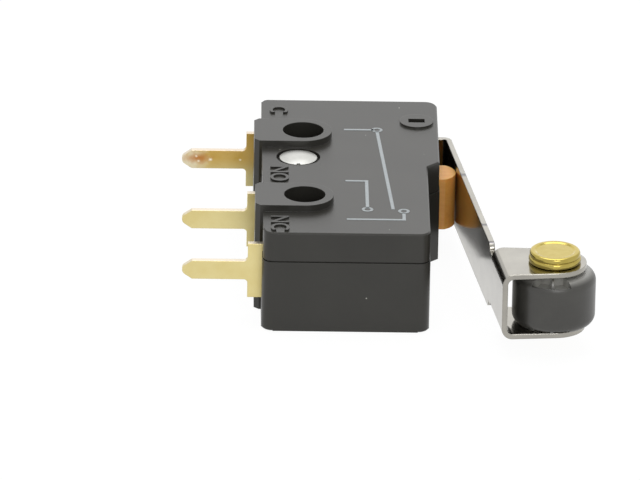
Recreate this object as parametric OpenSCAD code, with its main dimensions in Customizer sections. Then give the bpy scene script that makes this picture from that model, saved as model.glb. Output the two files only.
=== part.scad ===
// Subminiature snap-action switch with a hinged roller lever and straight
// printed-circuit terminals, lying on the back of its case.
// X runs from the terminal side to the plunger side, Y from the normally
// closed end to the hinge end, Z from the back of the case to its cover.
// The origin is on the back face, at the centre of the mounting hole nearer
// to the normally closed end. All sizes are in millimetres.

/* [Housing] */
// Length of the housing, from end to end
case_length = 19.8; // [19.4:0.1:22]
// Height of the housing from the terminal side to the plunger side
case_height = 10.2; // [10:0.05:10.6]
// Depth of the case below the joint with the cover
case_depth = 4.2; // [4.1:0.1:4.4]
// Depth of the cover above that joint
cover_depth = 1.8; // [1.7:0.05:2]
// Thickness of the walls and of the floor
wall = 0.8; // [0.6:0.05:0.9]
// How far the plunger side drops towards the normally closed end
ramp_drop = 0.7; // [0.5:0.05:0.9]
// Place of the foot of the ramp, from the normally closed end
ramp_y = 9.97; // [9.5:0.05:10.1]
// Radius of the upright corner beside the common terminal
corner_r = 0.45; // [0.2:0.05:0.6]
// Radius of the two upright corners of the normally closed end
near_corner_r = 0.65; // [0.4:0.05:0.8]
// Radius of the upright corner beside the hinge
hinge_corner_r = 0.75; // [0.4:0.05:1]
// Chamfer round the face of the cover and the back of the case
edge_chamfer = 0.08; // [0.05:0.01:0.16]
// How far the cover's walls stand back from the walls of the case
cover_step = 0.04; // [0.02:0.01:0.1]
// Width and depth of the groove at the joint
seam = 0.06; // [0.03:0.01:0.08]

/* [Mounting holes] */
// Diameter of the two mounting holes
hole_d = 2.35; // [2.1:0.05:2.5]
// Distance between the mounting holes
hole_pitch = 9.5; // [9.3:0.05:9.6]
// Hole centre to the terminal side
hole_x = 2.4; // [2.3:0.05:2.5]
// Hole centre to the normally closed end
hole_y = 4.75; // [4.6:0.05:4.9]
// Radius of the raised land round each hole
land_r = 1.65; // [1.5:0.05:1.75]
// Height of the land above the cover
land_rise = 0.4; // [0.2:0.05:0.5]
// How far the feet reach beyond the terminal side
foot_out = 0.4; // [0.35:0.05:0.5]
// Bevel of the upright corners of the feet
foot_bevel = 0.28; // [0.2:0.02:0.3]

/* [Cover rivet] */
// Rivet centre from the terminal side
rivet_x = 2.1; // [2.05:0.05:2.4]
// Rivet centre from the normally closed end
rivet_y = 11.2; // [11.05:0.05:11.25]
// Diameter of the domed head
rivet_head_d = 2.15; // [1.9:0.05:2.2]
// Diameter of the shank
rivet_d = 1.2; // [0.9:0.05:1.3]
// Height of the domed head
rivet_head_h = 0.42; // [0.35:0.01:0.5]
// Width of the small nick in the head's rim
rivet_nick = 0.2; // [0.1:0.05:0.3]
// Depth of the round recess that the head sits in
rivet_recess = 0.25; // [0.15:0.05:0.35]
// Width of the open ring round the head
rivet_ring = 0.175; // [0.1:0.025:0.2]
// Thickness of the moulded column round the shank
rivet_wall = 0.65; // [0.5:0.05:0.7]

/* [Terminals] */
// Thickness of the terminal sheet
terminal_t = 0.35; // [0.25:0.05:0.4]
// Width of the pins
pin_w = 1.1; // [1:0.05:1.3]
// Reach of the pins from the terminal side
pin_reach = 4.5; // [4:0.1:5.5]
// Length of the tapered end of a pin
pin_taper = 0.55; // [0.4:0.05:0.9]
// Radius of the rounded tip of a pin
pin_tip_r = 0.32; // [0.2:0.02:0.35]
// Fillet between a pin and its shoulder
pin_fillet = 0.22; // [0.1:0.02:0.3]
// Width of the shoulder
shoulder_w = 3.27; // [3:0.05:3.4]
// Reach of the shoulder from the terminal side
shoulder_reach = 0.8; // [0.5:0.05:1]
// Normally closed terminal, from that end of the case
nc_y = 1.8; // [1.7:0.05:1.9]
// Spacing from the normally closed to the normally open terminal
nc_no_pitch = 7.3; // [7.2:0.05:7.35]
// Spacing from the normally open to the common terminal
no_com_pitch = 8.9; // [8.8:0.05:8.95]

/* [Contacts] */
// Diameter of the contacts
contact_d = 1.4; // [1.1:0.05:1.6]
// Height of a contact head
contact_h = 0.5; // [0.4:0.05:0.55]
// Air gap of the open contact pair
contact_gap = 0.64; // [0.63:0.01:0.68]
// Centre of the contacts from the normally closed end
contact_y = 3.3; // [3.2:0.05:3.35]

/* [Snap blade] */
// Thickness of the movable blade
blade_t = 0.15; // [0.1:0.01:0.18]
// Width of the movable blade
blade_w = 3.4; // [3.1:0.05:3.6]
// Blade plane towards the plunger, from midway between hole column and wall
blade_offset = 0.275; // [0.2:0.005:0.35]
// Gap between the foot of the plunger and the blade at rest
pretravel_gap = 0.49; // [0.48:0.01:0.55]
// Middle radius of the two bow springs
bow_r = 1.5; // [1.4:0.05:1.6]
// Width of each bow spring
bow_w = 0.8; // [0.6:0.05:0.9]
// Blade plane to the centre of the bow
bow_drop = 0.23; // [0.15:0.01:0.3]
// Blade root to the centre of the bow
bow_setback = 2.77; // [2.7:0.01:2.9]
// Gap between the two bow springs
bow_gap = 0.2; // [0.1:0.05:0.25]

/* [Plunger] */
// Width of the plunger along the housing
plunger_w = 2.1; // [1.8:0.05:2.2]
// Width of the plunger across the thickness of the housing
plunger_depth = 3.1; // [2.8:0.05:3.3]
// Plunger centre from the normally closed end
plunger_y = 12.65; // [12.6:0.05:12.8]
// Radius of the plunger nose
nose_r = 1.2; // [1.15:0.05:1.4]
// Thickness of the inner flange that keeps the plunger in
flange_t = 0.7; // [0.5:0.05:0.8]
// Reach of that flange beyond each side of the plunger
flange_out = 0.45; // [0.3:0.05:0.45]
// Width of the stem that pushes the blade
stem_w = 1; // [0.8:0.1:1.2]

/* [Lever] */
// Thickness of the lever sheet
lever_t = 0.3; // [0.2:0.02:0.32]
// Width of the lever strip
lever_w = 3.9; // [3.8:0.02:4]
// Middle of the lever above the middle of the thickness
lever_rise = 0.1; // [0:0.02:0.12]
// Tilt of the free lever away from the housing
lever_tilt = 8.1; // [7:0.1:8.5]
// Pivot, from the plunger side inwards
pivot_inset = 1.26; // [1.15:0.01:1.3]
// Pivot, from the hinge end
pivot_end = 3.25; // [3.2:0.05:3.3]
// Pivot to the centre of the lever's bend, across the housing
bend_reach = 1.54; // [1.5:0.01:1.7]
// Inner radius of the bend between the leg and the strip
bend_r = 0.2; // [0.12:0.02:0.25]
// Inner radius of the folds of the fork
fold_r = 0.34; // [0.2:0.02:0.4]
// Bend to the start of the fork, along the strip
fork_start = 15.93; // [15.5:0.05:16.5]
// Length of the web of the fork
fork_length = 3.95; // [3.6:0.05:4.2]
// Radius of the round end of the ears
ear_r = 1.8; // [1.7:0.01:2]
// Depth of the relief notches between the strip and the fork
notch_depth = 0.42; // [0.3:0.02:0.5]
// Length of those notches
notch_length = 0.6; // [0.4:0.05:0.8]
// Width of the hinge tabs
tab_w = 0.8; // [0.7:0.02:0.84]
// Length of the leg inwards of the pivot
leg_inner = 0.48; // [0.44:0.02:0.5]
// Radius of the raised disc round the hinge slot
disc_r = 0.97; // [0.9:0.01:1]
// Height of that disc above the cover
disc_rise = 0.12; // [0.08:0.01:0.2]

/* [Roller] */
// Diameter of the roller
roller_d = 4.7; // [4.4:0.02:4.8]
// Width of the roller
roller_w = 3.1; // [2.9:0.02:3.2]
// Radius of the rounded rims
roller_edge_r = 0.55; // [0.4:0.05:0.7]
// Strip surface to the roller centre
roller_out = 2.92; // [2.9:0.01:3.1]
// Fork start to the roller centre, along the strip
roller_along = 2.26; // [2.1:0.01:2.4]
// Diameter of the roller pin
roller_pin_d = 1.5; // [1.3:0.05:1.7]
// Diameter of the head of the roller pin
roller_head_d = 2.96; // [2.6:0.02:3]
// Height of that head
roller_head_h = 0.68; // [0.6:0.02:0.8]
// Depth of the cored pockets in the sides of the roller
pocket_depth = 0.45; // [0.4:0.05:0.8]
// Thickness of the roller's rim beside a pocket
rim_t = 0.09; // [0.08:0.01:0.2]
// Thickness of the roller's hub round its bore
hub_t = 0.4; // [0.3:0.05:0.5]

/* [Clearances] */
// Play of a part that slides or turns
play = 0.05; // [0.03:0.01:0.07]
// Play of a part that is pressed or set in place
set_play = 0.01; // [0.005:0.005:0.02]
// Play of the roller beside each ear, when it is in the middle
roller_side_play = 0.12; // [0.05:0.01:0.15]
// Play round the hinge tabs in their slots
tab_play = 0.07; // [0.05:0.01:0.1]
// Room beside the leg for its swing in the wall
swing_room = 0.27; // [0.25:0.01:0.3]

/* [Hidden] */
$fn = 48;
eps = 0.01;

// Housing
mid_z = (case_depth + cover_depth) / 2;
face_z = case_depth + cover_depth;
plate_z = face_z - wall;
land_z = face_z + land_rise;
low_height = case_height - ramp_drop;
hole_places = [hole_y, hole_y + hole_pitch];
rivet_foot = rivet_recess + 0.1;

// Terminals and the moulded guides that hold them
no_y = nc_y + nc_no_pitch;
com_y = no_y + no_com_pitch;
guide_reach = wall + 1.2;
guide_w = 1.8;

// Lever
pivot_x = case_height - pivot_inset;
pivot_y = case_length - pivot_end;
lever_z = mid_z + lever_rise;
bend_outer_r = bend_r + lever_t;
fold_outer_r = fold_r + lever_t;
bend_x = pivot_x + bend_reach;
bend_y = pivot_y + lever_t / 2 - bend_outer_r;
slot_w = tab_w + 2 * tab_play;
slot_t = lever_t + 3.5 * tab_play;
tab_low = 0.1;
tab_high = face_z - 0.4;
ear_root = bend_r + fold_outer_r + 0.1;

// Roller in its fork
fork_gap = roller_w + 2 * roller_side_play;
fork_w = fork_gap + 2 * lever_t;
bore_r = roller_pin_d / 2 + play;
pin_tail = 0.42;

// Nose of the plunger, where the free lever's strip touches it
nose_play = 2 * set_play;
strip_offset = bend_reach * cos(lever_tilt) + (bend_y - pivot_y) * sin(lever_tilt) + bend_r;
nose_offset = strip_offset - nose_r - nose_play;
nose_x = pivot_x + (nose_offset - (plunger_y - pivot_y) * sin(lever_tilt)) / cos(lever_tilt);

// Snap mechanism
blade_x = (hole_x + land_r + low_height - wall) / 2 + blade_offset;
blade_front = blade_x + blade_t / 2;
blade_back = blade_x - blade_t / 2;
moving_h = contact_h - blade_t / 3;
nc_face = blade_front + moving_h + 2 * set_play;
no_face = blade_back - moving_h - contact_gap;
nc_arm_x = nc_face + contact_h;
no_arm_x = no_face - contact_h;
arm_past = 0.85;
com_top = blade_x + 0.7;
blade_root_y = com_y - terminal_t / 2 - play;
blade_tip_y = contact_y - contact_d / 2 - 0.3;
bow_centre = [blade_x - bow_drop, blade_root_y - bow_setback];
bow_from = 155.6;
bow_to = 279;
bow_heel = bow_centre + bow_r * [cos(bow_from), sin(bow_from)];
anchor_x = bow_heel[0] - blade_t / 2;
anchor_y = bow_heel[1] + 3 * play;
window_w = 2 * bow_w + bow_gap + 6 * play;
window_play = 0.12;

// Moves the corner of the housing to its place beside the datum hole
module from_datum() {
    translate([-hole_x, -hole_y, 0]) children();
}

// What is left of a square corner outside a quarter circle
module corner_waste(r, turn) {
    rotate(turn) translate([-r, -r]) difference() {
        square(r + eps);
        circle(r);
    }
}

// Outline of the housing, drawn in by an inset
module outline(inset = 0) {
    high = case_height - inset;
    low = low_height - inset;
    ramp_low = ramp_y + inset * (sqrt(2) - 1);
    far = case_length - inset;
    near_r = max(near_corner_r - inset, 0.05);
    difference() {
        polygon([
            [inset, inset], [low, inset], [low, ramp_low],
            [high, ramp_low + ramp_drop], [high, far], [inset, far]
        ]);
        translate([inset, inset]) corner_waste(near_r, 180);
        translate([low, inset]) corner_waste(near_r, 270);
        translate([inset, far]) corner_waste(max(corner_r - inset, 0.05), 90);
        translate([high, far]) corner_waste(max(hinge_corner_r - inset, 0.05), 0);
    }
}

// Outline of the land round a hole, with the foot that it runs out to
module land_outline() {
    circle(land_r);
    translate([-hole_x, -land_r]) square([hole_x, 2 * land_r]);
    polygon([
        [-hole_x + eps, -land_r], [-hole_x - foot_out + foot_bevel, -land_r],
        [-hole_x - foot_out, -land_r + foot_bevel], [-hole_x - foot_out, land_r - foot_bevel],
        [-hole_x - foot_out + foot_bevel, land_r], [-hole_x + eps, land_r]
    ]);
}

// Ground plan of the room inside the walls, round its columns and guides
module room_outline() {
    column_r = rivet_d / 2 + rivet_wall;
    difference() {
        outline(wall);
        for (y = hole_places) translate([hole_x, y]) {
            circle(land_r);
            translate([-hole_x, -land_r]) square([hole_x, 2 * land_r]);
        }
        translate([rivet_x, rivet_y]) {
            circle(column_r);
            translate([-rivet_x, -column_r]) square([rivet_x, 2 * column_r]);
        }
        for (y = [nc_y, no_y, com_y]) {
            translate([0, y - guide_w / 2]) square([guide_reach, guide_w]);
        }
        square([guide_reach, nc_y]);
        translate([0, com_y]) square([guide_reach, case_length - com_y]);
    }
}

// Everything that passes through the walls of the case and the cover
module passages() {
    for (y = hole_places) translate([hole_x, y, -1]) cylinder(h = land_z + 2, d = hole_d);
    translate([rivet_x, rivet_y, -1]) cylinder(h = land_z + 2, d = rivet_d + 2 * set_play);
    for (y = [nc_y, no_y, com_y]) {
        translate([-1, y - terminal_t / 2 - set_play, mid_z - shoulder_w / 2 - set_play])
            cube([guide_reach + 2, terminal_t + 2 * set_play, shoulder_w + 2 * set_play]);
    }
    translate([
        case_height - wall - 1, plunger_y - plunger_w / 2 - play,
        mid_z - plunger_depth / 2 - play
    ]) cube([wall + 2, plunger_w + 2 * play, plunger_depth + 2 * play]);
    translate([
        case_height - wall - 1, pivot_y - lever_t / 2 - swing_room,
        lever_z - lever_w / 2 - play
    ]) cube([wall + 2, lever_t + swing_room + play, lever_w + 2 * play]);
    translate([pivot_x - slot_w / 2, pivot_y - slot_t / 2, -1])
        cube([slot_w, slot_t, land_z + 2]);
}

// Cuts that chamfer the long edges of walls drawn in by an inset, at height z
module edge_cuts(z, inset = 0) {
    size = edge_chamfer * sqrt(2);
    high = case_height - inset;
    low = low_height - inset;
    far = case_length - inset;
    ramp_low = ramp_y + inset * (sqrt(2) - 1);
    for (edge = [
        [[0, inset], [low, inset]],
        [[low, inset], [low, ramp_low]],
        [[low, ramp_low], [high, ramp_low + ramp_drop]],
        [[high, ramp_low + ramp_drop], [high, far]],
        [[high, far], [0, far]]
    ]) {
        run = edge[1] - edge[0];
        translate([edge[0][0], edge[0][1], z]) rotate([0, 0, atan2(run[1], run[0])])
            rotate([45, 0, 0]) translate([0, -size / 2, -size / 2])
                cube([norm(run), size, size]);
    }
}

// Cuts that carry the chamfer round the corners, for the edge at height 0
module corner_cuts(inset = 0) {
    far = case_length - inset;
    for (corner = [
        [inset, inset, near_corner_r, 180], [low_height - inset, inset, near_corner_r, 270],
        [inset, far, corner_r, 90], [case_height - inset, far, hinge_corner_r, 0]
    ]) translate([corner[0], corner[1], 0]) rotate(corner[3]) corner_cut(corner[2] - inset);
}

// One such cut, at a corner of radius r whose walls face +X and +Y
module corner_cut(r) {
    translate([-r, -r, 0]) difference() {
        cube([r + eps, r + eps, edge_chamfer]);
        cylinder(h = edge_chamfer, r1 = r - edge_chamfer, r2 = r);
    }
}

module case_base() {
    color("#3f3d39") from_datum() difference() {
        union() {
            difference() {
                linear_extrude(case_depth) outline();
                translate([0, 0, wall]) linear_extrude(case_depth) room_outline();
                edge_cuts(0);
                corner_cuts();
            }
            for (y = hole_places) translate([hole_x, y, 0])
                linear_extrude(case_depth) difference() {
                    land_outline();
                    circle(d = hole_d + 4 * eps);
                }
        }
        passages();
        translate([rivet_x, rivet_y, -1]) cylinder(h = 1 + rivet_foot, d = rivet_head_d);
    }
}

module cover() {
    color("#82827f") from_datum() difference() {
        union() {
            difference() {
                translate([0, 0, case_depth]) {
                    linear_extrude(cover_depth) outline(cover_step + seam);
                    translate([0, 0, seam])
                        linear_extrude(cover_depth - seam) outline(cover_step);
                }
                translate([0, 0, case_depth - 1])
                    linear_extrude(cover_depth - wall + 1) room_outline();
                edge_cuts(face_z, cover_step);
                translate([0, 0, face_z]) mirror([0, 0, 1]) corner_cuts(cover_step);
            }
            for (y = hole_places) translate([hole_x, y, case_depth])
                linear_extrude(cover_depth + land_rise) land_outline();
            translate([pivot_x, pivot_y, plate_z]) cylinder(h = wall + disc_rise, r = disc_r);
        }
        passages();
        translate([rivet_x, rivet_y, face_z - rivet_recess])
            cylinder(h = 1, d = rivet_head_d + 2 * rivet_ring);
    }
}

module cover_rivet() {
    dome_h = rivet_head_h / 2;
    dome_r = (pow(rivet_head_d / 2, 2) + pow(dome_h, 2)) / (2 * dome_h);
    color("#e6e6e4") from_datum() translate([rivet_x, rivet_y, 0]) {
        cylinder(h = face_z - rivet_recess + eps, d = rivet_d);
        cylinder(h = rivet_foot - set_play, d = rivet_head_d - 2 * play);
        translate([0, 0, face_z - rivet_recess + set_play]) difference() {
            union() {
                cylinder(h = dome_h, d = rivet_head_d);
                translate([0, 0, dome_h]) intersection() {
                    translate([0, 0, dome_h - dome_r]) sphere(dome_r);
                    cylinder(h = 2 * dome_h, d = rivet_head_d);
                }
            }
            translate([-rivet_nick / 2, -rivet_head_d / 2 - rivet_nick / 2, dome_h / 2])
                cube([rivet_nick, rivet_nick, rivet_head_h]);
        }
    }
}

module plunger() {
    flange_top = case_height - wall - set_play;
    flange_w = plunger_w + 2 * flange_out;
    stem_end = blade_front + pretravel_gap;
    color("#c98a3c") from_datum() translate([0, plunger_y, mid_z - plunger_depth / 2])
        linear_extrude(plunger_depth) {
            translate([flange_top - flange_t, -plunger_w / 2])
                square([nose_x - flange_top + flange_t, plunger_w]);
            intersection() {
                translate([nose_x, 0]) circle(nose_r);
                translate([nose_x - eps, -plunger_w / 2]) square([2 * nose_r, plunger_w]);
            }
            translate([flange_top - flange_t, -flange_w / 2]) square([flange_t, flange_w]);
            translate([stem_end, -stem_w / 2]) square([flange_top - stem_end, stem_w]);
        }
}

// Corners of a wedge about the origin, from one angle to the other
function wedge(r, from, to) =
    concat([[0, 0]], [for (step = [0:4]) r * [
        cos(from + (to - from) * step / 4), sin(from + (to - from) * step / 4)
    ]]);

// Point where a line from p touches the circle round c, on the given side
function tangent_point(p, c, r, side) =
    let (d = norm(c - p), base = atan2(p[1] - c[1], p[0] - c[0]), open = acos(r / d))
    c + r * [cos(base + side * open), sin(base + side * open)];

// Outline of an ear in the frame of the strip: the bend's centre is the
// origin, +X is away from the housing and -Y runs along the strip
module ear_outline() {
    centre = [bend_outer_r + roller_out, -fork_start - roller_along];
    near = [ear_root, -fork_start - fork_length];
    far = [ear_root, -fork_start];
    difference() {
        union() {
            translate(centre) circle(ear_r);
            polygon([
                [bend_r, near[1]], near, tangent_point(near, centre, ear_r, 1), centre,
                tangent_point(far, centre, ear_r, -1), far, [bend_r, far[1]]
            ]);
        }
        translate(centre) circle(d = roller_pin_d + 2 * set_play);
    }
}

// Section of the fork across the strip: a channel with rounded folds
module fork_section() {
    reach = bend_outer_r + roller_out + ear_r + 1;
    difference() {
        square([reach, fork_w]);
        translate([lever_t, lever_t]) square([reach, fork_gap]);
        corner_waste(fold_outer_r, 180);
        translate([0, fork_w]) corner_waste(fold_outer_r, 90);
    }
    translate([lever_t, lever_t]) fold_fillet();
    translate([lever_t, fork_w - lever_t]) mirror([0, 1]) fold_fillet();
}

// Inner fillet of one fold
module fold_fillet() {
    difference() {
        square(fold_r);
        translate([fold_r, fold_r]) circle(fold_r);
    }
}

// Outline of a relief notch from the fork's start, below the strip's edge
module notch_outline() {
    translate([-eps, -notch_depth]) square([notch_length + eps, notch_depth + 1]);
    translate([notch_length, 0]) rotate(90) corner_waste(notch_depth, 0);
}

module actuator_lever() {
    color("#c9c9c6") from_datum() {
        // Leg, with a tab at each side that turns in the housing's slots
        translate([pivot_x - leg_inner, pivot_y - lever_t / 2, lever_z - lever_w / 2])
            cube([bend_x - pivot_x + leg_inner, lever_t, lever_w]);
        translate([pivot_x - tab_w / 2, pivot_y - lever_t / 2, tab_low])
            cube([tab_w, lever_t, tab_high - tab_low]);
        // Bend between the leg and the strip
        translate([bend_x, bend_y, lever_z - lever_w / 2]) linear_extrude(lever_w) intersection() {
            difference() {
                circle(bend_outer_r);
                circle(bend_r);
            }
            polygon(wedge(2 * bend_outer_r, lever_tilt, 90));
        }
        translate([bend_x, bend_y, lever_z]) rotate(lever_tilt) {
            // Strip, with its relief notches before the fork
            difference() {
                translate([bend_r, -fork_start, -lever_w / 2])
                    cube([lever_t, fork_start, lever_w]);
                for (side = [0, 1]) mirror([0, 0, side])
                    translate([0, -fork_start, lever_w / 2]) rotate([90, 0, 90])
                        linear_extrude(2 * bend_outer_r) notch_outline();
            }
            // Fork
            intersection() {
                translate([bend_r, -fork_start + eps, -fork_w / 2]) rotate([90, 0, 0])
                    linear_extrude(fork_length + 1) fork_section();
                translate([0, 0, -fork_w]) linear_extrude(2 * fork_w) ear_outline();
            }
        }
    }
}

// Puts its children at the roller centre, in the middle of the fork
module at_roller() {
    from_datum() translate([bend_x, bend_y, lever_z]) rotate(lever_tilt)
        translate([bend_outer_r + roller_out, -fork_start - roller_along, 0])
            rotate(-lever_tilt) children();
}

// Half section of the roller, with its rounded rims
module roller_section() {
    flat_r = roller_d / 2 - roller_edge_r;
    half = roller_w / 2;
    translate([bore_r, -half]) square([flat_r - bore_r, roller_w]);
    translate([bore_r, -half + roller_edge_r])
        square([roller_d / 2 - bore_r, roller_w - 2 * roller_edge_r]);
    for (z = [-1, 1]) intersection() {
        translate([flat_r, z * (half - roller_edge_r)]) circle(roller_edge_r);
        translate([bore_r, -half]) square([roller_d / 2, roller_w]);
    }
}

module roller() {
    // It lies on the lower ear, as the switch lies on its back
    color("#55544f") at_roller() translate([0, 0, play / 2 - roller_side_play]) difference() {
        rotate_extrude() roller_section();
        // Cored pockets in both sides, a pair to each half, with a rib between
        for (side = [0, 1], half = [0, 1], span = [[-36, -6], [-2, 23]])
            mirror([0, 0, side]) rotate(half * 180 - 90)
                translate([0, 0, roller_w / 2 - pocket_depth])
                    linear_extrude(2 * pocket_depth) pocket(span[0], span[1]);
    }
}

// Outline of a pocket between two angles
module pocket(from, to) {
    intersection() {
        difference() {
            circle(roller_d / 2 - rim_t);
            circle(bore_r + hub_t);
        }
        polygon(wedge(roller_d, from, to));
    }
}

// Half section of one tier of the pin's head, with rounded rims
module tier_section(r, low, high) {
    edge = (high - low) / 2.6;
    translate([0, low]) square([r - edge, high - low]);
    translate([0, low + edge]) square([r, high - low - 2 * edge]);
    for (z = [low + edge, high - edge]) translate([r - edge, z]) circle(edge);
}

module roller_pin() {
    r = roller_head_d / 2;
    h = roller_head_h;
    shank_r = roller_pin_d / 2;
    tail_r = shank_r + 0.3;
    edge = 0.12;
    dish = 0.05;
    color("#e0c858") at_roller() {
        translate([0, 0, fork_w / 2 + set_play]) rotate_extrude() difference() {
            union() {
                tier_section(r, 0, h / 2 + dish / 2);
                tier_section(r - dish, h / 2 - dish / 2, h);
            }
            polygon([[0, h - dish], [r * 0.7, h - dish], [r * 0.8, h + eps], [0, h + eps]]);
        }
        translate([0, 0, -fork_w / 2 - set_play - eps])
            cylinder(h = fork_w + 2 * set_play + 2 * eps, r = shank_r);
        translate([0, 0, -fork_w / 2 - set_play - pin_tail]) rotate_extrude() polygon([
            [0, 0], [shank_r, 0], [tail_r, edge], [tail_r, pin_tail], [0, pin_tail]
        ]);
    }
}

// A flat pin with its shoulder, up to the inner end at reach
module terminal_blade(y, reach) {
    tip = [-pin_reach + pin_tip_r, 0];
    neck = -pin_reach + pin_taper;
    translate([0, y + terminal_t / 2, mid_z]) rotate([90, 0, 0]) linear_extrude(terminal_t) {
        translate([-shoulder_reach, -shoulder_w / 2]) square([shoulder_reach + reach, shoulder_w]);
        translate([neck, -pin_w / 2]) square([-shoulder_reach + eps - neck, pin_w]);
        translate(tip) circle(pin_tip_r);
        polygon([
            tangent_point([neck, -pin_w / 2], tip, pin_tip_r, -1), [neck + eps, -pin_w / 2],
            [neck + eps, pin_w / 2], tangent_point([neck, pin_w / 2], tip, pin_tip_r, 1), tip
        ]);
        for (side = [-1, 1])
            translate([-shoulder_reach, side * pin_w / 2]) root_fillet(side, pin_fillet);
    }
}

// Fillet where a pin meets its shoulder
module root_fillet(side, r) {
    mirror([0, side < 0 ? 1 : 0]) translate([-r, -eps]) difference() {
        square([r + eps, r + eps]);
        translate([0, r + eps]) circle(r);
    }
}

module com_terminal() {
    color("#cdb060") from_datum() {
        difference() {
            terminal_blade(com_y, com_top);
            // Window that the spring anchor is lanced from
            translate([anchor_x + terminal_t - eps, com_y - 1, mid_z - window_w / 2])
                cube([com_top - anchor_x - terminal_t - guide_w / 3, 2, window_w]);
        }
        translate([anchor_x, anchor_y, mid_z - window_w / 2 + play])
            cube([terminal_t, com_y - anchor_y, window_w - 2 * play]);
    }
}

// A sheet arm that runs along the housing, from y to y, at the given height
module contact_arm(x, from_y, to_y) {
    translate([x, from_y, mid_z - shoulder_w / 2]) cube([terminal_t, to_y - from_y, shoulder_w]);
}

// Hole for the shank of a contact in the sheet that starts at x
module contact_hole(x, sheet_t) {
    translate([x - sheet_t, contact_y, mid_z]) rotate([0, 90, 0])
        cylinder(h = 3 * sheet_t, d = contact_d / 2 + 2 * set_play);
}

module no_terminal() {
    color("#d8c070") from_datum() difference() {
        union() {
            terminal_blade(no_y, no_arm_x);
            contact_arm(no_arm_x - terminal_t, contact_y - arm_past, no_y + terminal_t / 2);
        }
        contact_hole(no_arm_x - terminal_t, terminal_t);
    }
}

module nc_terminal() {
    color("#d8c070") from_datum() difference() {
        union() {
            terminal_blade(nc_y, nc_arm_x + terminal_t / 2);
            contact_arm(nc_arm_x, nc_y - terminal_t / 2, contact_y + arm_past);
        }
        contact_hole(nc_arm_x, terminal_t);
    }
}

// A contact whose face is at x and whose shank runs away from it, way 1 or -1
module contact(x, way) {
    color("#d9d9d2") from_datum() translate([x, contact_y, mid_z]) rotate([0, way * 90, 0]) {
        cylinder(h = contact_h - set_play, d = contact_d);
        cylinder(h = contact_h + terminal_t, d = contact_d / 2);
    }
}

module no_contact() {
    contact(no_face, -1);
}

module nc_contact() {
    contact(nc_face, 1);
}

module movable_blade() {
    color("#c8a060") from_datum() difference() {
        translate([blade_back, blade_tip_y, mid_z - blade_w / 2])
            cube([blade_t, blade_root_y - blade_tip_y, blade_w]);
        // Window for the two bow springs
        translate([blade_back - 1, bow_centre[1] - bow_r - window_play, mid_z - window_w / 2])
            cube([blade_t + 2, 2 * bow_r, window_w]);
        contact_hole(blade_back, blade_t);
    }
}

module moving_contact() {
    color("#d9d9d2") from_datum() translate([blade_x, contact_y, mid_z]) rotate([0, 90, 0]) {
        cylinder(h = blade_t + 2 * eps, d = contact_d / 2, center = true);
        for (side = [0, 1]) mirror([0, 0, side]) translate([0, 0, blade_t / 2 + set_play])
            cylinder(h = moving_h - set_play, d = contact_d);
    }
}

// One bow spring, to one side of the middle plane
module bow_spring(side) {
    z = mid_z + side * (bow_w + bow_gap) / 2;
    color("#c8a060") from_datum() translate([bow_centre[0], bow_centre[1], z - bow_w / 2])
        linear_extrude(bow_w) intersection() {
            difference() {
                circle(bow_r + blade_t / 2);
                circle(bow_r - blade_t / 2);
            }
            polygon(wedge(2 * bow_r, bow_from, bow_to));
        }
}

module bow_spring_lower() {
    bow_spring(-1);
}

module bow_spring_upper() {
    bow_spring(1);
}

case_base();
cover();
cover_rivet();
plunger();
actuator_lever();
roller();
roller_pin();
com_terminal();
no_terminal();
nc_terminal();
no_contact();
nc_contact();
movable_blade();
moving_contact();
bow_spring_lower();
bow_spring_upper();
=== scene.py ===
# %% [markdown]
# # A subminiature switch with a roller lever
# The real thing is smaller than a fingertip: a black moulded housing of about 20 x 10 x 6 mm with
# two mounting holes, three flat brass pins, an amber plunger and a bent steel lever that carries a
# roller. Its shape already exists as exact solids, which are loaded here as a frame that must not
# be moved. This script gives each solid the look of its real material and adds what is too small
# or too soft for the solids: the moulded letters and the printed contact diagram.

import math

import bmesh
import bpy
from mathutils import Matrix, Vector


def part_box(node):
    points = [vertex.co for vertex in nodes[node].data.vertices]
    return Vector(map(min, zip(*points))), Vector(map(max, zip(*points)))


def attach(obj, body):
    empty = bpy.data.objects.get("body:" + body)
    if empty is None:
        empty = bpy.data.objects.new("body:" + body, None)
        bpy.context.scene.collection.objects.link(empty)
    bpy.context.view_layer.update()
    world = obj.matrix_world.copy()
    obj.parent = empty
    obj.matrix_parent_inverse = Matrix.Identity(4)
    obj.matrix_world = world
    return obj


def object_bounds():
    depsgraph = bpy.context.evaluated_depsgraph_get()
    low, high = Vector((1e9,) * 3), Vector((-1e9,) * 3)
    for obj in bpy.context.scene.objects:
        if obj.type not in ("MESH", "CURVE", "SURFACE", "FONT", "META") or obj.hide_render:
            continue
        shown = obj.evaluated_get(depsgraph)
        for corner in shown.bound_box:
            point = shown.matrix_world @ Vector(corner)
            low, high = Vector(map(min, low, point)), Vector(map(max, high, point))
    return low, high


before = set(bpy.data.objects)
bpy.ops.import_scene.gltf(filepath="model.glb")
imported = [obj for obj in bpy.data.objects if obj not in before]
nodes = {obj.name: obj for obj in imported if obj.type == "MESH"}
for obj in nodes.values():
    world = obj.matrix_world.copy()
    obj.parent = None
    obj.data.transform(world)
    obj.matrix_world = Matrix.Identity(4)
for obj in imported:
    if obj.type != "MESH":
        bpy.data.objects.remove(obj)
solid_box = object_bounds()
MM = 0.001
print("nodes:", sorted(nodes))
print("box of the solids in mm:", [[round(c / MM, 2) for c in corner] for corner in solid_box])

# %% [markdown]
# ## Colours and nodes
# Colours are easy to compare with real things when they are written as sRGB hex values, as on a
# paint chart, but Cycles works in linear light. One function converts them. A second one adds a
# node, gives it its settings and joins its inputs, so that a material reads as a short recipe.

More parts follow.
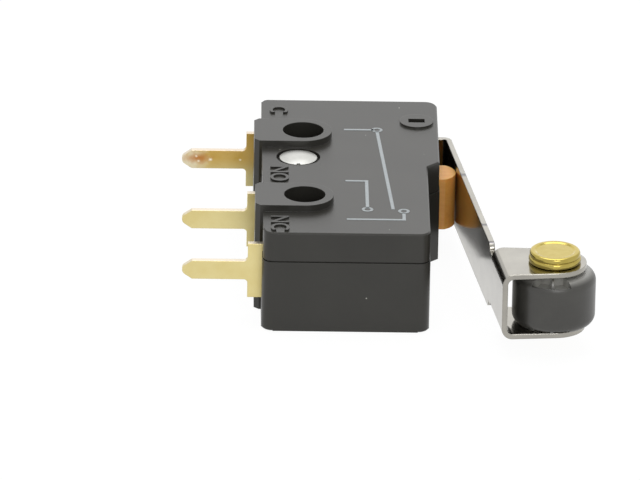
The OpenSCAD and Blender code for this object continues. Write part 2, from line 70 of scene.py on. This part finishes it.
# %% Colour and node helpers
def linear(hex_colour):
    """An sRGB hex value as linear red, green, blue and alpha."""
    values = [int(hex_colour[i:i + 2], 16) / 255 for i in (1, 3, 5)]
    light = [v / 12.92 if v <= 0.04045 else ((v + 0.055) / 1.055) ** 2.4 for v in values]
    return (*light, 1.0)


def add(tree, kind, inputs=None, **settings):
    """Adds a node. An input's value is a number, a colour or the output socket to join to it."""
    node = tree.nodes.new("ShaderNode" + kind)
    for name, value in settings.items():
        setattr(node, name, value)
    for name, value in (inputs or {}).items():
        if isinstance(value, bpy.types.NodeSocket):
            tree.links.new(value, node.inputs[name])
        else:
            node.inputs[name].default_value = value
    return node


def new_material(name):
    """An empty material, its node tree and its shader."""
    material = bpy.data.materials.new(name)
    material.use_nodes = True
    tree = material.node_tree
    tree.nodes.clear()
    shader = add(tree, "BsdfPrincipled")
    add(tree, "OutputMaterial", {"Surface": shader.outputs["BSDF"]})
    return material, tree, shader


def cells_of(size_mm):
    """The scale of a texture whose features are size_mm across, as coordinates are in metres."""
    return 1 / (size_mm * MM)


print("linear mid grey:", [round(c, 3) for c in linear("#808080")])

# %% [markdown]
# ## Where a texture sits
# Every solid keeps its place in its vertices, so object coordinates are the millimetres of the
# real part. A pattern that is laid out in them has the same size on every piece, and turns with
# the piece when it moves. No real finish is one flat colour either, so each one drifts between two
# near tones. The bevel node rounds the light on an edge: real moulded and stamped edges are never
# perfectly sharp, and the thin bright line that they catch is what makes a small part look real.

# %% Coordinates, tones and edges
def place(tree, stretch=(1, 1, 1), turn_z=0.0):
    """Object coordinates, stretched along the axes and turned about Z."""
    coords = add(tree, "TexCoord")
    mapping = add(tree, "Mapping", {
        "Vector": coords.outputs["Object"], "Scale": stretch, "Rotation": (0, 0, turn_z)})
    return mapping.outputs["Vector"]


def clouded(tree, here, dark, light, size_mm, detail):
    """A tone that drifts between two linear colours, in clouds of that size."""
    clouds = add(tree, "TexNoise", {"Vector": here, "Scale": cells_of(size_mm), "Detail": detail})
    tones = add(tree, "ValToRGB", {"Fac": clouds.outputs["Fac"]})
    low, high = tones.color_ramp.elements
    low.position = 0.3
    low.color = dark
    high.position = 0.7
    high.color = light
    return tones.outputs["Color"]


def soften(tree, shader, edge_mm, height=None, depth_mm=0.0):
    """Rounds the light over each edge, and adds a relief of a real depth where one is given."""
    normal = add(tree, "Bevel", {"Radius": edge_mm * MM}, samples=6).outputs["Normal"]
    if height is not None:
        bump = add(tree, "Bump", {"Height": height, "Normal": normal, "Strength": 1.0,
                                  "Distance": depth_mm * MM})
        normal = bump.outputs["Normal"]
    tree.links.new(normal, shader.inputs["Normal"])


print("a 0.5 mm feature needs scale", round(cells_of(0.5)))

# %% [markdown]
# ## Dust and stains
# Wear is laid over a finished tone, one colour at a time, and each needs a mask. Specks of dust are
# the middles of Voronoi cells, of which a random share is kept. A stain is a spot: its mask falls
# off with the distance from its centre, with noise added so that its rim looks frayed. Its reach is
# given along each axis, so a spot can be long and thin, or go right through a sheet. An image could
# do all this too, but would be fixed to one size and could not follow the part.

# %% Wear helpers
# How far noise moves a spot's rim, and from where to where a spot fades, in shares of its reach.
FRAY = 0.7
SOLID, GONE = 0.4, 1.0


def dusted(tree, tone, here, hex_colour, spacing_mm, size_mm, share):
    """The tone with small round specks, on a share of the places of a loose grid."""
    dots = add(tree, "TexVoronoi", {"Vector": here, "Scale": cells_of(spacing_mm)})
    near = add(tree, "Math", {0: dots.outputs["Distance"], 1: size_mm / 2 / spacing_mm},
               operation="LESS_THAN")
    pick = add(tree, "SeparateColor", {"Color": dots.outputs["Color"]})
    few = add(tree, "Math", {0: pick.outputs["Red"], 1: 1 - share}, operation="GREATER_THAN")
    mask = add(tree, "Math", {0: near.outputs["Value"], 1: few.outputs["Value"]},
               operation="MULTIPLY")
    mix = add(tree, "Mix", {"Factor": mask.outputs["Value"], "A": tone,
                            "B": linear(hex_colour)}, data_type="RGBA")
    return mix.outputs["Result"]


def spotted(tree, tone, hex_colour, centre_mm, reach_mm, grain_mm, strength):
    """The tone with one frayed spot, strong about its centre and gone before its reach."""
    coords = add(tree, "TexCoord").outputs["Object"]
    away = add(tree, "VectorMath", {0: coords, 1: [c * MM for c in centre_mm]},
               operation="SUBTRACT")
    scaled = add(tree, "VectorMath", {0: away.outputs["Vector"],
                                      1: [r * MM for r in reach_mm]}, operation="DIVIDE")
    far = add(tree, "VectorMath", {0: scaled.outputs["Vector"]}, operation="LENGTH")
    noise = add(tree, "TexNoise", {"Vector": coords, "Scale": cells_of(grain_mm), "Detail": 4.0})
    frayed = add(tree, "Math", {0: noise.outputs["Fac"], 1: FRAY, 2: far.outputs["Value"]},
                 operation="MULTIPLY_ADD")
    mask = add(tree, "MapRange", {"Value": frayed.outputs["Value"], "From Min": SOLID,
                                  "From Max": GONE, "To Min": strength, "To Max": 0.0})
    mix = add(tree, "Mix", {"Factor": mask.outputs["Result"], "A": tone,
                            "B": linear(hex_colour)}, data_type="RGBA")
    return mix.outputs["Result"]


print("a spot fades out at about", round(GONE - FRAY / 2, 2), "of its reach")

# %% [markdown]
# ## Black thermoset, moulded in a spark-eroded tool
# The case and the cover are a mineral-filled moulding compound, near black with a warm cast. The
# tool's fine eroded texture gives a satin skin, so flat faces stay calm and only turn pale where
# they are seen at a low angle. A polished piece would have an IOR near 1.6; the filled skin shines
# less, and 1.44 matches it. The grain itself is about 0.02 mm, too fine to show, so it is drawn
# three times as coarse and very shallow. A broad, faint cloudiness comes from the flow of the
# compound, and a few pale specks are dust and flash.

# %% Housing plastic
CLOUDINESS = 0.1


def moulded_compound(name, hex_colour, roughness):
    """Filled moulding compound, for the two halves of the housing."""
    material, tree, shader = new_material(name)
    here = place(tree)
    base = linear(hex_colour)
    darker = tuple(c * (1 - CLOUDINESS) for c in base[:3]) + (1.0,)
    lighter = tuple(c * (1 + CLOUDINESS) for c in base[:3]) + (1.0,)
    tone = clouded(tree, here, darker, lighter, size_mm=3.5, detail=3.0)
    tone = dusted(tree, tone, here, "#A5A49D", spacing_mm=1.0, size_mm=0.08, share=0.5)
    tree.links.new(tone, shader.inputs["Base Color"])
    shader.inputs["Roughness"].default_value = roughness
    shader.inputs["IOR"].default_value = 1.44
    grain = add(tree, "TexNoise", {"Vector": here, "Scale": cells_of(0.06), "Detail": 2.0})
    soften(tree, shader, 0.035, grain.outputs["Fac"], depth_mm=0.0015)
    return material


cover_plastic = moulded_compound("phenolic_compound_moulded_satin", "#2E2D29", 0.32)
case_plastic = moulded_compound("phenolic_compound_moulded_matt", "#2E2D29", 0.34)
print("made", cover_plastic.name, case_plastic.name)

# %% [markdown]
# ## Amber PBT, for the plunger
# The plunger is natural glass-filled polyester: amber, slightly milky, so light enters its edges
# and they glow. Subsurface scattering over about half a millimetre gives that. It slides in its
# window, and the fine draw lines along its stroke are drawn as stretched noise.

# %% Plunger plastic
def amber_polyester():
    """Glass-filled PBT, moulded."""
    material, tree, shader = new_material("pbt_amber_moulded")
    drawn = place(tree, stretch=(0.08, 1, 1))
    tone = clouded(tree, drawn, linear("#E39F48"), linear("#EBAB55"), size_mm=0.12, detail=2.0)
    tree.links.new(tone, shader.inputs["Base Color"])
    shader.inputs["Roughness"].default_value = 0.42
    shader.inputs["IOR"].default_value = 1.57
    shader.inputs["Subsurface Weight"].default_value = 0.5
    shader.inputs["Subsurface Radius"].default_value = (1.0, 0.5, 0.2)
    shader.inputs["Subsurface Scale"].default_value = 0.6 * MM
    soften(tree, shader, 0.05)
    return material


plunger_plastic = amber_polyester()
print("made", plunger_plastic.name)

# %% [markdown]
# ## Rolled spring steel, for the lever
# The lever is blanked from bright rolled stainless strip and bent. Rolling leaves fine lines along
# the strip, so reflections are nearly mirror-like but a little smeared. Stretched noise along the
# strip, which is tilted by some eight degrees, varies the roughness. A few short dark scuffs on
# its upper edge come from handling.

# %% Lever steel
STRIP_TILT = math.radians(8.1)
STRIP_EDGE_Z = 5.05
# In millimetres, so far across the sheet that a spot marks both of its faces alike.
THROUGH = 1000
# Each scuff has a place along the strip and a reach along it.
SCUFFS = [(6.4, 0.512), (-0.9, 0.384), (-3.4, 0.32)]
SCUFF_HEIGHT = 0.3


def rolled_steel():
    """Bright rolled strip of stainless spring steel."""
    material, tree, shader = new_material("stainless_strip_rolled_bright")
    tone = clouded(tree, place(tree), linear("#9B9891"), linear("#A6A39B"),
                   size_mm=1.5, detail=2.0)
    for y, reach in SCUFFS:
        tone = spotted(tree, tone, "#5E5D63", (0, y, STRIP_EDGE_Z),
                       (THROUGH, reach, SCUFF_HEIGHT), grain_mm=0.12, strength=0.9)
    tree.links.new(tone, shader.inputs["Base Color"])
    along = place(tree, stretch=(1, 0.03, 1), turn_z=-STRIP_TILT)
    lines = add(tree, "TexNoise", {"Vector": along, "Scale": cells_of(0.1), "Detail": 3.0})
    gloss = add(tree, "MapRange", {"Value": lines.outputs["Fac"], "To Min": 0.11,
                                   "To Max": 0.19})
    tree.links.new(gloss.outputs["Result"], shader.inputs["Roughness"])
    shader.inputs["Metallic"].default_value = 1.0
    soften(tree, shader, 0.1, lines.outputs["Fac"], depth_mm=0.0004)
    return material


lever_steel = rolled_steel()
print("made", lever_steel.name)

# %% [markdown]
# ## Stamped brass pins
# The terminals are stamped from brass sheet and flashed with a thin plating, pale yellow and satin.
# The
# common pin has been soldered: its brass is darker, with a paler lower half, a pale bloom about the
# tip, an orange stain in that bloom and a few pale specks. They are laid over the brass one after
# another. On all three pins the faces that look up are painted paler, by a mask of how much a
# surface looks up: this stands for the bare metal of the sheared upper edges, which carry no
# plating, and for a painted highlight from the light above.

# %% Terminal brass
PIN_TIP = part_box("com_terminal")[0][0] / MM
PIN_Z = 3.0
LOW_HALF_FADE = (1.9 * MM, 3.1 * MM)
BLOOM_REACH = (2.7, THROUGH, 2.5)
STAIN_ALONG, STAIN_ABOVE = 0.95, 0.1
STAIN_REACH = (1.5, THROUGH, 0.65)
# Each speck has a place along the pin from its tip, a height above its middle, and a reach.
PIN_SPECKS = [(0.83, 0.2, 0.14), (0.96, -0.1, 0.14), (1.64, 0.0, 0.2), (3.36, 0.0, 0.13)]


def soldered(tree, tone, here):
    """The common pin's tone: paler below, with a bloom, a stain and specks about the tip."""
    split = add(tree, "SeparateXYZ", {"Vector": here})
    low = add(tree, "MapRange", {
        "Value": split.outputs["Z"], "From Min": LOW_HALF_FADE[0],
        "From Max": LOW_HALF_FADE[1], "To Min": 0.75, "To Max": 0.0})
    paler = add(tree, "Mix", {"Factor": low.outputs["Result"], "A": tone,
                              "B": linear("#D6CE9C")}, data_type="RGBA")
    tone = spotted(tree, paler.outputs["Result"], "#E6DEC4", (PIN_TIP, 0, PIN_Z), BLOOM_REACH,
                   grain_mm=0.5, strength=0.95)
    tone = spotted(tree, tone, "#BC7A3A", (PIN_TIP + STAIN_ALONG, 0, PIN_Z + STAIN_ABOVE),
                   STAIN_REACH, grain_mm=0.4, strength=0.95)
    for along, above, reach in PIN_SPECKS:
        tone = spotted(tree, tone, "#FBF4DE", (PIN_TIP + along, 0, PIN_Z + above),
                       (reach, THROUGH, reach), grain_mm=0.1, strength=1.0)
    return tone


def bare_and_painted_lit_above(tree, tone):
    """The tone made paler on the faces that look up: bare sheared metal and a painted highlight."""
    look = add(tree, "SeparateXYZ", {"Vector": add(tree, "NewGeometry").outputs["Normal"]})
    # Painted highlight: faces that look up are made paler; this also stands for the bare sheared
    # edges.
    upper = add(tree, "MapRange", {"Value": look.outputs["Z"], "From Min": 0.6,
                                   "From Max": 0.9, "To Max": 0.85})
    mix = add(tree, "Mix", {"Factor": upper.outputs["Result"], "A": tone,
                            "B": linear("#D2C8BC")}, data_type="RGBA")
    return mix.outputs["Result"]


def plated_brass(name, light_hex, dark_hex, roughness, wear=None):
    """Stamped brass with a thin plating, and with wear over it where that is given."""
    material, tree, shader = new_material(name)
    here = place(tree)
    tone = clouded(tree, here, linear(dark_hex), linear(light_hex), size_mm=1.2, detail=4.0)
    if wear:
        tone = wear(tree, tone, here)
    tree.links.new(bare_and_painted_lit_above(tree, tone), shader.inputs["Base Color"])
    shader.inputs["Metallic"].default_value = 1.0
    shader.inputs["Roughness"].default_value = roughness
    soften(tree, shader, 0.05)
    return material


terminal_brass = plated_brass("brass_sheet_stamped_plated", "#E4D69C", "#DCCB8C", 0.34)
common_brass = plated_brass("brass_sheet_stamped_stained", "#D2B36C", "#C5A251", 0.4, soldered)
print("made", terminal_brass.name, common_brass.name)

# %% [markdown]
# ## Turned brass, for the roller's pin
# The pin is turned on an automatic lathe and left bright. The lathe's fine rings are too close
# together to show on a head of three millimetres, so they are drawn nearly a millimetre apart and
# very shallow, about the pin's own axis. A wave texture runs through twenty radians in one unit,
# and one whole turn takes it from ring to ring, which gives its scale.

# %% Pin brass
pin_low, pin_high = (Vector(corner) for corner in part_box("roller_pin"))
pin_centre = (pin_low + pin_high) / 2
RING_STEP = 0.942 * MM
WAVE_RADIANS = 20


def turned_brass():
    """Bright turned brass with rings about the pin's axis."""
    material, tree, shader = new_material("brass_turned_bright")
    coords = add(tree, "TexCoord")
    centred = add(tree, "VectorMath", {0: coords.outputs["Object"], 1: tuple(pin_centre)},
                  operation="SUBTRACT")
    rings = add(tree, "TexWave", {"Vector": centred.outputs["Vector"],
                                  "Scale": 2 * math.pi / (WAVE_RADIANS * RING_STEP),
                                  "Distortion": 0.3},
                wave_type="RINGS", rings_direction="Z")
    tone = clouded(tree, centred.outputs["Vector"], linear("#AC9A4D"), linear("#B4A359"),
                   size_mm=0.5, detail=2.0)
    tree.links.new(tone, shader.inputs["Base Color"])
    shader.inputs["Metallic"].default_value = 1.0
    shader.inputs["Roughness"].default_value = 0.16
    soften(tree, shader, 0.04, rings.outputs["Fac"], depth_mm=0.0008)
    return material


pin_brass = turned_brass()
print("pin centre in mm:", [round(c / MM, 2) for c in pin_centre])

# %% [markdown]
# ## The roller, the rivet, and what is inside
# The roller is dark grey moulded nylon, smooth and slightly waxy. Its ends are cored out, and the
# lever's ear shades those hollows, so they get painted light: a paler tone, masked by the distance
# from the roller's axis. The cover's rivet is bright aluminium with a domed head. Inside are
# silver-alloy contacts and springs of rolled copper alloy, which show only when the housing is
# open, but each still gets its own material.

# %% Roller plastic
# Painted light in the hollows of the roller's ends: full out to the first radius, gone at the
# second.
PAINTED_LIGHT_RADIUS = 1.75 * MM
PAINTED_LIGHT_END_RADIUS = 2.25 * MM


def moulded_nylon():
    """Dark grey nylon with specks of dust, and painted light in the shaded hollows of its ends."""
    material, tree, shader = new_material("nylon_grey_moulded")
    here = place(tree)
    tone = clouded(tree, here, linear("#363532"), linear("#3E3D39"), size_mm=1.5, detail=3.0)
    off = add(tree, "VectorMath", {0: here, 1: pin_centre}, operation="SUBTRACT")
    flat = add(tree, "VectorMath", {0: off.outputs["Vector"], 1: (1, 1, 0)},
               operation="MULTIPLY")
    far = add(tree, "VectorMath", {0: flat.outputs["Vector"]}, operation="LENGTH")
    # Painted light: a paler tone in the end hollows that the lever's ear shades.
    painted_hub_light = add(tree, "MapRange", {
        "Value": far.outputs["Value"], "From Min": PAINTED_LIGHT_RADIUS, "From Max": PAINTED_LIGHT_END_RADIUS,
        "To Min": 0.85, "To Max": 0.0})
    pale = add(tree, "Mix", {"Factor": painted_hub_light.outputs["Result"], "A": tone,
                             "B": linear("#B5B4AE")}, data_type="RGBA")
    tone = dusted(tree, pale.outputs["Result"], here, "#A5A49F",
                  spacing_mm=1.1, size_mm=0.08, share=0.3)
    tree.links.new(tone, shader.inputs["Base Color"])
    shader.inputs["Roughness"].default_value = 0.34
    shader.inputs["IOR"].default_value = 1.53
    soften(tree, shader, 0.05)
    return material


roller_plastic = moulded_nylon()
# Prints how far the painted light in the roller's end hollows reaches.
print("the roller's ends are painted_lighter up to", round(PAINTED_LIGHT_RADIUS / MM, 2), "mm from its axis")

# %% Rivet, contacts and springs
def plain_material(name, dark_hex, light_hex, size_mm, roughness, metallic=0.0, ior=None):
    """A material with a faint cloudiness of the given size."""
    material, tree, shader = new_material(name)
    tone = clouded(tree, place(tree), linear(dark_hex), linear(light_hex), size_mm, detail=3.0)
    tree.links.new(tone, shader.inputs["Base Color"])
    shader.inputs["Roughness"].default_value = roughness
    shader.inputs["Metallic"].default_value = metallic
    if ior:
        shader.inputs["IOR"].default_value = ior
    soften(tree, shader, 0.05)
    return material


rivet_metal = plain_material("aluminium_rivet_headed", "#B2B2AE", "#BCBCB8",
                             size_mm=0.6, roughness=0.4, metallic=1.0)
contact_silver = plain_material("silver_alloy_headed", "#D6D6D1", "#E0E0DC",
                                size_mm=0.3, roughness=0.25, metallic=1.0)
spring_copper = plain_material("copper_alloy_rolled", "#C08A4C", "#CC9858",
                               size_mm=0.8, roughness=0.28, metallic=1.0)
print("made", rivet_metal.name, contact_silver.name, spring_copper.name)

# %% [markdown]
# ## Dressing the solids
# Each solid keeps its shape and takes the one material that its real piece is made of.

# %% Assign materials
DRESS = {
    "case_base": case_plastic,
    "cover": cover_plastic,
    "cover_rivet": rivet_metal,
    "plunger": plunger_plastic,
    "actuator_lever": lever_steel,
    "roller": roller_plastic,
    "roller_pin": pin_brass,
    "com_terminal": common_brass,
    "no_terminal": terminal_brass,
    "nc_terminal": terminal_brass,
    "no_contact": contact_silver,
    "nc_contact": contact_silver,
    "moving_contact": contact_silver,
    "movable_blade": spring_copper,
    "bow_spring_lower": spring_copper,
    "bow_spring_upper": spring_copper,
}
for name, material in DRESS.items():
    mesh = nodes[name].data
    mesh.materials.clear()
    mesh.materials.append(material)
print("dressed", len(DRESS), "solids")

# %% [markdown]
# ## Moulded letters beside the terminals
# Each terminal is named by small raised letters in the cover: C for common, NO for normally open
# and NC for normally closed. They stand about a tenth of a millimetre proud, and seen at a low
# angle it is their dark flanks that make them readable. A text curve with some extrusion is the
# simplest way to make them, and it stays a clean solid.

# %% Letters
COVER_DEPTH = 1.8 * MM
FACE_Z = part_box("cover")[0][2] + COVER_DEPTH
LETTER_SIZE = 1.45 * MM
LETTER_RISE = 0.1 * MM
LETTER_BOLD = 0.022 * MM
LETTERS = {"C": (-1.42, 13.35), "NO": (-1.45, 3.8), "NC": (-1.47, -3.42)}


def raised_letters(body, x, y):
    """Raised letters that read from the cover's side, with their tops towards the plunger."""
    curve = bpy.data.curves.new("letters_" + body, "FONT")
    curve.body = body
    curve.size = LETTER_SIZE
    curve.extrude = LETTER_RISE
    curve.offset = LETTER_BOLD
    curve.align_x = "CENTER"
    curve.align_y = "CENTER"
    curve.materials.append(cover_plastic)
    letters = bpy.data.objects.new("letters_" + body, curve)
    letters.location = (x * MM, y * MM, FACE_Z)
    letters.rotation_euler = (0, 0, -math.pi / 2)
    bpy.context.scene.collection.objects.link(letters)
    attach(letters, "housing")


for body, (x, y) in LETTERS.items():
    raised_letters(body, x, y)
print("letters stand at z", round(FACE_Z / MM, 2), "mm")

# %% [markdown]
# ## The printed contact diagram
# Switches of this kind are pad-printed with pale ink. A plain diagram of a changeover contact
# fills that place: a lead to each terminal, the blade, and a small ring at each contact. Each line
# is a mitred strip with the real thickness of an ink film, a hundredth of a millimetre, so it
# stays a solid of its own and needs no picture.

# %% Ink and strokes
ink = plain_material("pad_printing_ink", "#9DA3A6", "#ABB1B3",
                     size_mm=0.15, roughness=0.6, ior=1.5)
INK_WIDTH = 0.2 * MM
INK_RISE = 0.01 * MM
RING_RADIUS = 0.25 * MM
RING_WIDTH = 0.16 * MM


def add_prism(bm, outline, low, high):
    """Adds a closed prism over a flat outline that runs anticlockwise."""
    bottom = [bm.verts.new((x, y, low)) for x, y in outline]
    top = [bm.verts.new((x, y, high)) for x, y in outline]
    bm.faces.new(list(reversed(bottom)))
    bm.faces.new(top)
    for i in range(len(outline)):
        j = (i + 1) % len(outline)
        bm.faces.new([bottom[i], bottom[j], top[j], top[i]])


def stroke(points, width):
    """Outline of a line of that width through the points, with mitred corners."""
    path = [Vector(p) for p in points]
    left, right = [], []
    for i, p in enumerate(path):
        before = (p - path[i - 1]).normalized() if i else None
        after = (path[i + 1] - p).normalized() if i + 1 < len(path) else None
        run = ((before or after) + (after or before)).normalized()
        across = Vector((-run.y, run.x))
        reach = width / 2 / across.dot(Vector((-(after or before).y, (after or before).x)))
        left.append(p + across * reach)
        right.append(p - across * reach)
    return [tuple(p) for p in right + left[::-1]]


def ring(centre, radius, width, steps=24):
    """Quads of a flat ring."""
    parts = []
    for i in range(steps):
        a, b = (2 * math.pi * (i + k) / steps for k in (0, 1))
        parts.append([(centre[0] + r * math.cos(t), centre[1] + r * math.sin(t))
                      for r, t in ((radius - width / 2, a), (radius + width / 2, a),
                                   (radius + width / 2, b), (radius - width / 2, b))])
    return parts


print("ink", ink.name)

# %% Contact diagram
LEAD_X = 2.35
DIAGRAM = [
    [(LEAD_X, 10.6), (4.05, 10.6)],
    [(4.25, 10.35), (5.0, -1.1)],
    [(LEAD_X, -2.6), (5.6, -2.6), (5.6, -1.6)],
    [(LEAD_X, 3.0), (3.55, 3.0), (3.55, -0.9)],
]
RINGS = [(4.25, 10.6), (5.6, -1.35), (3.55, -1.15)]
bm = bmesh.new()
for line in DIAGRAM:
    outline = stroke([(x * MM, y * MM) for x, y in line], INK_WIDTH)
    add_prism(bm, outline, FACE_Z, FACE_Z + INK_RISE)
for x, y in RINGS:
    for quad in ring((x * MM, y * MM), RING_RADIUS, RING_WIDTH):
        add_prism(bm, quad, FACE_Z, FACE_Z + INK_RISE)
mesh = bpy.data.meshes.new("contact_diagram")
bmesh.ops.recalc_face_normals(bm, faces=bm.faces)
bm.to_mesh(mesh)
bm.free()
mesh.materials.append(ink)
diagram = bpy.data.objects.new("contact_diagram", mesh)
bpy.context.scene.collection.objects.link(diagram)
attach(diagram, "housing")
print("diagram has", len(mesh.polygons), "faces")

# %% [markdown]
# ## Floor and light
# The switch lies on its back on a white sweep, in a light tent: soft light from all round, most of
# it from above. A small softbox in front lights the near end, and a wide, weak reflector behind
# gives the flat top its sheen. The floor and the world are plain white to the camera and to
# reflections, while for the light that falls on the switch they stay at a normal level. The floor
# keeps a little of its real shading, so the switch still stands on its own soft shadow.

# %% Floor
FLOOR_SIZE = 0.6
FLOOR_GAP = 0.02 * MM
SHADE = 0.08
WHITE = (1.0, 1.0, 1.0, 1.0)


def shown_rays(tree):
    """One for rays from the camera and from mirror-like or clear surfaces, otherwise zero."""
    path = add(tree, "LightPath")
    seen = add(tree, "Math", {0: path.outputs["Is Camera Ray"],
                              1: path.outputs["Is Glossy Ray"]}, operation="MAXIMUM")
    either = add(tree, "Math", {0: seen.outputs["Value"],
                                1: path.outputs["Is Transmission Ray"]}, operation="MAXIMUM")
    return either.outputs["Value"]


def white_sweep():
    """White to the camera and to reflections, with a trace of the real shading."""
    material = bpy.data.materials.new("white_sweep")
    material.use_nodes = True
    tree = material.node_tree
    tree.nodes.clear()
    glow = add(tree, "Math", {0: shown_rays(tree), 1: 1 - SHADE}, operation="MULTIPLY")
    paper = add(tree, "BsdfDiffuse", {"Color": linear("#F4F4F4")})
    light = add(tree, "Emission", {"Color": WHITE, "Strength": 1.03})
    blend = add(tree, "MixShader", {"Fac": glow.outputs["Value"], 1: paper.outputs["BSDF"],
                                    2: light.outputs["Emission"]})
    add(tree, "OutputMaterial", {"Surface": blend.outputs["Shader"]})
    return material


floor_mesh = bpy.data.meshes.new("floor")
half = FLOOR_SIZE / 2
floor_mesh.from_pydata(
    [(-half, -half, 0), (half, -half, 0), (half, half, 0), (-half, half, 0)], [], [(0, 1, 2, 3)])
floor_mesh.materials.append(white_sweep())
floor = bpy.data.objects.new("floor", floor_mesh)
floor.location = (0, 0, solid_box[0][2] - FLOOR_GAP)
bpy.context.scene.collection.objects.link(floor)
print("floor at z", round(floor.location.z / MM, 2), "mm")

# %% World
TENT_LEVEL = 0.55
world = bpy.data.worlds.new("light_tent")
world.use_nodes = True
sky = world.node_tree
sky.nodes.clear()
level = add(sky, "MapRange", {"Value": shown_rays(sky), "To Min": TENT_LEVEL, "To Max": 1.0})
tent = add(sky, "Background", {"Color": WHITE, "Strength": level.outputs["Result"]})
add(sky, "OutputWorld", {"Surface": tent.outputs["Background"]})
bpy.context.scene.world = world
print("tent level", TENT_LEVEL)

# %% Lamps
AIM = Vector((2, 5, 3)) * MM


def softbox(name, place_mm, size_mm, level):
    """A square lamp that faces the switch and lights a white card there to that level."""
    lamp = bpy.data.lights.new(name, "AREA")
    lamp.shape = "SQUARE"
    lamp.size = size_mm * MM
    spot = Vector(place_mm) * MM
    lamp.energy = level * math.pi ** 2 * (spot - AIM).length_squared
    box = bpy.data.objects.new(name, lamp)
    box.location = spot
    box.rotation_euler = (AIM - spot).to_track_quat("-Z", "Y").to_euler()
    bpy.context.scene.collection.objects.link(box)


softbox("softbox_above", (0, 60, 320), 240, 0.48)
softbox("softbox_front", (60, -335, 160), 160, 0.22)
softbox("reflector_behind", (30, 460, 190), 460, 0.13)

# %% [markdown]
# ## Camera
# The switch is seen from its normally closed end, about 23 degrees above the bench, through a very
# long lens that leaves its edges almost parallel. The camera is rolled by about a degree.

# %% Camera
AZIMUTH, ELEVATION, ROLL = (math.radians(a) for a in (-1.05, 23.0, 1.16))
TARGET = Vector((1.01, 5.15, 1.41)) * MM
DISTANCE = 719 * MM
away = Vector((math.sin(AZIMUTH) * math.cos(ELEVATION),
               -math.cos(AZIMUTH) * math.cos(ELEVATION), math.sin(ELEVATION)))
right = Vector((math.cos(AZIMUTH), math.sin(AZIMUTH), 0))
up = away.cross(right)
turn = Matrix((right, up, away)).transposed() @ Matrix.Rotation(ROLL, 3, "Z")
lens = bpy.data.cameras.new("camera")
lens.lens = 707.7
lens.sensor_width = 36
lens.clip_start = 0.01
lens.clip_end = 10
camera = bpy.data.objects.new("camera", lens)
camera.matrix_world = Matrix.Translation(TARGET + away * DISTANCE) @ turn.to_4x4()
bpy.context.scene.collection.objects.link(camera)
bpy.context.scene.camera = camera
bpy.context.scene.view_settings.view_transform = "Standard"
print("camera at mm:", [round(c / MM, 1) for c in camera.location])
